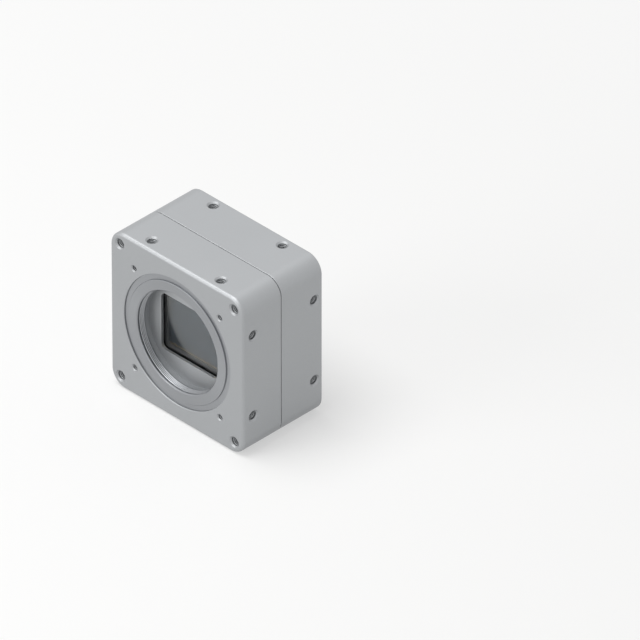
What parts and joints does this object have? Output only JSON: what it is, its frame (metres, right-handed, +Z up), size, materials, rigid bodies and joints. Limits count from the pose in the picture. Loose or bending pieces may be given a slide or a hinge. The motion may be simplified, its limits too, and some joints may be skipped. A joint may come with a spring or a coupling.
{
  "type": "machine vision camera",
  "caption": "Square industrial camera body with a threaded lens opening over an image sensor, and a row of coaxial jacks, a round power socket and a status light on its back.",
  "frame": {"origin": "optical axis at the front face of the camera", "axes": "+X right as seen from the front, +Y back through the camera, +Z up"},
  "size_m": [0.08, 0.0602, 0.08],
  "materials": {
    "body_aluminium": "bead blasted and clear anodised",
    "mount_aluminium": "turned and clear anodised",
    "screw_steel": "cold headed stainless steel",
    "seal_rubber": "moulded black silicone",
    "sensor_glass": "polished, coated",
    "package_ceramic": "fired dark ceramic",
    "chip_silicon": "polished silicon with colour filters",
    "heat_pad": "soft filled silicone",
    "board_laminate": "glass laminate with solder mask",
    "chip_plastic": "moulded chip resin",
    "plate_aluminium": "milled",
    "standoff_brass": "nickel plated brass",
    "link_plastic": "moulded black polyester",
    "ferrite": "pressed ferrite",
    "jack_metal": "nickel plated brass",
    "insulator_white": "turned white fluoropolymer",
    "contact_gold": "gold plated brass",
    "socket_plastic": "moulded black plastic",
    "light_plastic": "milky moulded polycarbonate",
    "lamp_plastic": "lamp resin"
  },
  "bodies": {
    "root": {"coax_contact_1": "contact_gold", "coax_contact_2": "contact_gold", "coax_contact_3": "contact_gold", "coax_contact_4": "contact_gold", "coax_insulator_1": "insulator_white", "coax_insulator_2": "insulator_white", "coax_insulator_3": "insulator_white", "coax_insulator_4": "insulator_white", "coax_jack_1": "jack_metal", "coax_jack_2": "jack_metal", "coax_jack_3": "jack_metal", "coax_jack_4": "jack_metal", "cooling_plate": "plate_aluminium", "corner_screws": "screw_steel", "front_housing": "body_aluminium", "front_link_header": "link_plastic", "front_link_socket": "link_plastic", "front_standoffs": "standoff_brass", "housing_seal": "seal_rubber", "interface_board": "board_laminate", "interface_board_screws": "screw_steel", "jack_nuts": "jack_metal", "jack_washers": "jack_metal", "lens_mount_ring": "mount_aluminium", "line_driver_chips": "chip_plastic", "memory_chips": "chip_plastic", "mount_ring_screws": "screw_steel", "power_inductors": "ferrite", "power_insulator": "socket_plastic", "power_nut": "jack_metal", "power_pins": "contact_gold", "power_seal": "seal_rubber", "power_shell": "jack_metal", "processor_board": "board_laminate", "processor_chip": "chip_plastic", "processor_heat_pad": "heat_pad", "rear_housing": "body_aluminium", "rear_link_header": "link_plastic", "rear_link_socket": "link_plastic", "rear_standoffs": "standoff_brass", "sensor_board": "board_laminate", "sensor_chip": "chip_silicon", "sensor_cover_glass": "sensor_glass", "sensor_gasket": "seal_rubber", "sensor_heat_pad": "heat_pad", "sensor_package": "package_ceramic", "status_lamp": "lamp_plastic", "status_light_pipe": "light_plastic"}
  },
  "joints": []
}
